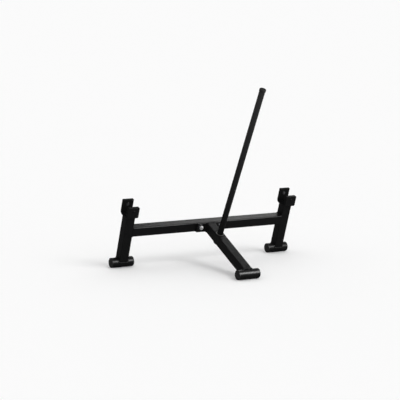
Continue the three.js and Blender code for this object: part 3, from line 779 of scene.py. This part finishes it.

# Lever socket: a short length of thick tube through both walls of the leg, with a disc welded under
# it as a floor. The rim of its mouth and the bead round it carry a painted highlight, a dull grey ring laid
# into the coat.
at_lever = strut @ Matrix.Translation((0, socket_up * mm, 0))
socket_bore, socket_radius, socket_low = 15.5, 20, -28
holder = turned("socket_tube", [(socket_bore, socket_low), (socket_radius, socket_low)]
                + arc((18.6, 27.6), 1.4, 0, 90, 5)
                + [(16.3, 29), (socket_bore, 28.2), (socket_bore, socket_low)], "z")
# The mouth's coat: its worn edges, paler and wider than the frame's, are partly wear and partly painted
# highlight.
mouth_coat_with_highlight = powder_coat("mouth_coat_with_highlight", coat_black, (0.1, 0.098, 0.095), 0.3, 0.42, coat_gloss,
                         wear=0.8, width=0.002)


def from_place(tree, place):
    """Object coordinates as seen from a place in the frame."""
    back, turn = place.inverted(), tree.nodes.new("ShaderNodeMapping")
    turn.inputs["Location"].default_value = back.to_translation()
    turn.inputs["Rotation"].default_value = back.to_euler()
    tree.links.new(tree.nodes.new("ShaderNodeTexCoord").outputs["Object"], turn.inputs["Vector"])
    return turn.outputs["Vector"]


def lay_over(material, mask, colour):
    """Lays a colour over a finish where the mask is 1."""
    tree, mix = material.node_tree, material.node_tree.nodes.new("ShaderNodeMix")
    base = tree.nodes["Principled BSDF"].inputs["Base Color"]
    mix.data_type = "RGBA"
    mix.inputs[7].default_value = (*colour, 1)
    tree.links.new(mask, mix.inputs["Factor"])
    tree.links.new(base.links[0].from_socket, mix.inputs[6])
    tree.links.new(mix.outputs[2], base)


# Painted highlight: within 20.6 mm of the mouth's middle the coat turns a dull grey, fading out by 22.2 mm.
tree, reach = mouth_coat_with_highlight.node_tree, mouth_coat_with_highlight.node_tree.nodes.new("ShaderNodeVectorMath")
reach.operation = "LENGTH"
mouth = at_lever @ Matrix.Translation((0, 0, 28 * mm))
highlight_full_within, highlight_gone_at = 20.6, 22.2  # from the middle of the mouth
tree.links.new(from_place(tree, mouth), reach.inputs[0])
wear_and_sheen = between(tree, reach.outputs["Value"], 1, 0, highlight_full_within * mm, highlight_gone_at * mm)
lay_over(mouth_coat_with_highlight, wear_and_sheen, (0.062, 0.061, 0.0595))
settle(holder, at_lever, "frame", "frame_paint", mouth_coat_with_highlight, "lever_socket")
disc = turned("socket_disc", [(0, -28.3), (19.6, -28.3), (socket_radius, -28.7), (socket_radius, -30.8),
                              (19.5, -31.3), (0, -31.3)], "z")
settle(disc, at_lever, "frame", "frame_paint", frame_coat, "socket_floor")


# Weld beads: every joint of the frame is welded all round and coated over. A bead is one ripple of
# weld metal, repeated along the seam.
def weld(name, seam, place, radius, pitch=2.3):
    """Lays a rippled bead along a closed seam of points in millimetres, as seen from the place."""
    route = bpy.data.curves.new("seam", "CURVE")
    route.dimensions = "3D"
    route.use_stretch = route.use_deform_bounds = True
    line = route.splines.new("POLY")
    line.points.add(len(seam) - 1)
    for point, spot in zip(line.points, seam):
        point.co = (*(Vector(spot) * mm), 1)
    line.use_cyclic_u = True
    guide = bpy.data.objects.new("seam", route)
    scene.collection.objects.link(guide)
    length = sum((Vector(a) - Vector(b)).length for a, b in zip(seam, seam[1:] + seam[:1]))
    count = round(length / pitch)
    ripple = [(radius * share, pitch * step) for share, step in
              ((0.86, 0), (0.98, 0.22), (1.0, 0.5), (0.95, 0.8), (0.86, 1))]
    bead = turned(name, ripple, "x", 12)
    modify(bead, "ARRAY", count=count, use_relative_offset=False, use_constant_offset=True,
           constant_offset_displace=(pitch * mm, 0, 0), use_merge_vertices=True, merge_threshold=1e-5)
    modify(bead, "CURVE", object=guide, deform_axis="POS_X")
    bpy.data.objects.remove(guide)
    alone(bead)
    bpy.ops.object.mode_set(mode="EDIT")
    bpy.ops.mesh.select_all(action="SELECT")
    bpy.ops.mesh.remove_doubles(threshold=1e-4)
    bpy.ops.mesh.normals_make_consistent(inside=False)
    bpy.ops.object.mode_set(mode="OBJECT")
    bpy.ops.object.shade_smooth()
    bead.matrix_world = place
    bpy.ops.object.transform_apply(location=True, rotation=True, scale=True)
    bead.data.materials.clear()
    bead.data.materials.append(weld_coat)
    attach(bead, "frame")
    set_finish(bead, "frame_paint")
    return bead


def rounded_square(wide, high, corner=5, step=2):
    """Points round a rounded square. Its width and height are given from its middle."""
    points = []
    for turn, (cx, cy) in enumerate(((1, 1), (-1, 1), (-1, -1), (1, -1))):
        points += arc((cx * (wide - corner), cy * (high - corner)), corner, 90 * turn, 90 * turn + 90, 4)
    full = []
    for (ax, ay), (bx, by) in zip(points, points[1:] + points[:1]):
        pieces = max(1, round(math.hypot(bx - ax, by - ay) / step))
        full += [(ax + (bx - ax) * i / pieces, ay + (by - ay) * i / pieces) for i in range(pieces)]
    return full


def circle(radius, height, step=2):
    """Points round a circle at a height."""
    count = round(2 * math.pi * radius / step)
    return [(radius * math.cos(2 * math.pi * i / count), radius * math.sin(2 * math.pi * i / count), height)
            for i in range(count)]


tube_bead = 3  # radius of the beads round the square tubes
seam = [(x, y, math.sqrt(25.7 ** 2 - y ** 2)) for x, y in rounded_square(25.9, 24.3)]
foot_weld = weld("foot_weld_left", seam, on_left, tube_bead)
twin(foot_weld, "foot_weld_right", across)
for sign, side in ((-1, "left"), (1, "right")):
    seam = [(sign * 446.9, y, beam_up + z) for y, z in rounded_square(23.8, 25.8)]
    weld(f"beam_weld_{side}", seam, stand, tube_bead)
seam = [(x, y, 260.2) for x, y in rounded_square(25.8, 25.2)]
saddle_weld = weld("saddle_weld_left", seam, on_left, 2.6)
twin(saddle_weld, "saddle_weld_right", across)
seam = [(x, -34, 177.4 + z) for x, z in rounded_square(25.9, 25.3)]
weld("flange_weld", seam, stand, tube_bead)
seam = [(x, math.sqrt(max(25.9 ** 2 - (z + 1.5) ** 2, 10.6 ** 2)), z + 1.5)
        for x, z in rounded_square(25.9, 24.2)]
weld("leg_foot_weld", seam, strut, tube_bead)
rim_bead = weld("socket_weld_top", circle(20.8, 27.2), at_lever, 1.7, 1.8)
# The bead round the mouth takes the same coat, with its painted highlight.
rim_bead.data.materials[0] = mouth_coat_with_highlight
weld("socket_weld_bottom", circle(20.8, -23.6), at_lever, 2.8)
weld("socket_disc_weld", circle(19.4, -28.2), at_lever, 1.6)

# Lever: 30 mm round steel tube with a 2 mm wall, powder coated black. It stands loose in the socket
# and lifts out. Its coat is laid a lighter grey towards the top.
lever_radius, lever_wall, lever_length, lever_end = 15, 2, 899, 874.3
lever_coat = powder_coat("lever_coat", (0.0042, 0.0042, 0.0044), (0.03, 0.03, 0.031), 0.34, 0.46,
                         gloss=0.08, wear=0.6)
tree, parts = lever_coat.node_tree, lever_coat.node_tree.nodes.new("ShaderNodeSeparateXYZ")
tree.links.new(from_place(tree, at_lever), parts.inputs[0])
paler_upwards = between(tree, parts.outputs["Z"], 0, 1, 0.1, 0.8)  # from 0.1 to 0.8 m up the lever
lay_over(lever_coat, paler_upwards, (0.021, 0.021, 0.0216))
bpy.ops.object.select_all(action="DESELECT")
bpy.ops.mesh.primitive_cylinder_add(vertices=72, radius=lever_radius * mm, depth=lever_length * mm,
                                    end_fill_type="NOTHING",
                                    location=(0, 0, (lever_end - lever_length / 2) * mm))
lever = named("lever_tube")
modify(lever, "SOLIDIFY", thickness=lever_wall * mm, offset=-1)
soften(lever, 0.4 * mm)
settle(lever, at_lever, "lever", "lever_paint", lever_coat, "lever")

# Lever cap and plug: moulded black plastic. The cap is pushed over the upper end as a grip's end, the
# plug is pressed into the lower end and stands on the socket's floor.
end_plastic = moulded("end_plastic", 0.5, 0.65, grain_depth=0.00006, gloss=0.05, shade=0.016)
skirt = [(0, 874.6), (15.3, 874.6), (15.3, 865.3), (15.5, 865), (16.4, 865), (16.7, 865.4), (16.7, 870)]
roof = arc((14.2, 875.1), 2.5, 0, 90, 6) + [(8, 877.5), (2, 877.3), (0, 877.3)]
cap = turned("lever_cap", skirt + roof, "z")
settle(cap, at_lever, "lever", "lever_plastic", end_plastic, "lever_top_cap")
sole = [(0, socket_low), (14.3, socket_low), (lever_radius, -27.3), (lever_radius, -25)]
stem = [(12.7, -25), (12.7, -13.6), (12.1, -13), (10.7, -13), (10.7, -25), (0, -25)]
plug = turned("lever_foot_plug", sole + stem, "z")
settle(plug, at_lever, "lever", "lever_plastic", end_plastic, "lever_plug")
